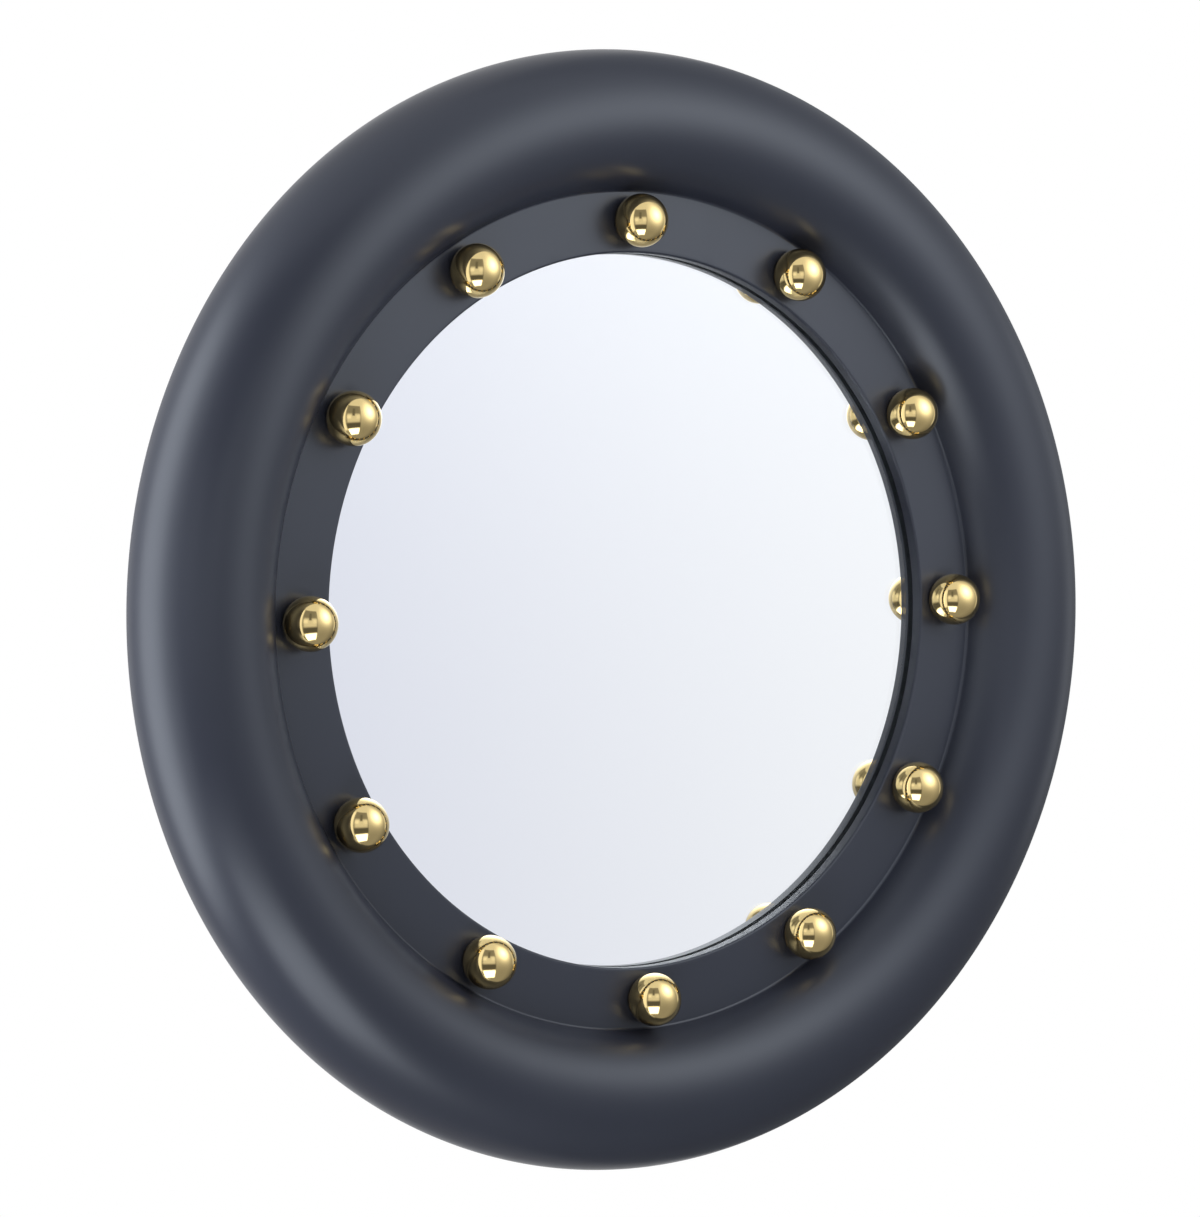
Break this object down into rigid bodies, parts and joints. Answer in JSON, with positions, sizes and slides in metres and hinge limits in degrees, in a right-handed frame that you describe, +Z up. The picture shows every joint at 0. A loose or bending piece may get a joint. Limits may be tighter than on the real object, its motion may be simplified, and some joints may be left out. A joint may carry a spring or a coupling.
{
  "type": "round wall mirror",
  "caption": "Round wall mirror in a deep half-round lacquered frame, with a flat inner ring studded with polished brass balls and a recessed silvered glass.",
  "frame": {"origin": "centre of the mirror on the wall plane, which is the frame's flat back", "axes": "+Z up, +Y into the wall, the mirror faces -Y, +X to the right of someone who looks into it"},
  "size_m": [0.8378, 0.064, 0.8378],
  "materials": {
    "frame_lacquer": "satin dark blue-grey lacquer on turned fibreboard",
    "ring_lacquer": "satin dark blue-grey lacquer on fibreboard",
    "polished_brass": "polished",
    "silvered_glass": "clear glass silvered at the back",
    "foam": "closed-cell foam",
    "hardboard": "smooth hardboard",
    "zinc_steel": "bright zinc plate"
  },
  "bodies": {
    "mirror": {"outer_frame": "frame_lacquer", "ball_ring": "ring_lacquer", "brass_ball_01": "polished_brass", "brass_ball_02": "polished_brass", "brass_ball_03": "polished_brass", "brass_ball_04": "polished_brass", "brass_ball_05": "polished_brass", "brass_ball_06": "polished_brass", "brass_ball_07": "polished_brass", "brass_ball_08": "polished_brass", "brass_ball_09": "polished_brass", "brass_ball_10": "polished_brass", "brass_ball_11": "polished_brass", "brass_ball_12": "polished_brass", "ball_washers": "zinc_steel", "ball_screws": "zinc_steel", "ring_screws": "zinc_steel", "mirror_glass": "silvered_glass", "glass_foam_ring": "foam", "backing_board": "hardboard", "board_screws": "zinc_steel", "hanger_strap_left": "zinc_steel", "hanger_strap_right": "zinc_steel", "hanger_screws": "zinc_steel"},
    "left_ring": {"d_ring_left": "zinc_steel"},
    "right_ring": {"d_ring_right": "zinc_steel"}
  },
  "joints": [
    {"name": "left_ring_swing", "type": "hinge", "parent": "mirror", "child": "left_ring", "pos_m": [-0.34435, -0.00732, 0.15], "axis": [1, 0, 0], "range_deg": [0, 176]},
    {"name": "right_ring_swing", "type": "hinge", "parent": "mirror", "child": "right_ring", "pos_m": [0.34435, -0.00732, 0.15], "axis": [1, 0, 0], "range_deg": [0, 176]}
  ]
}
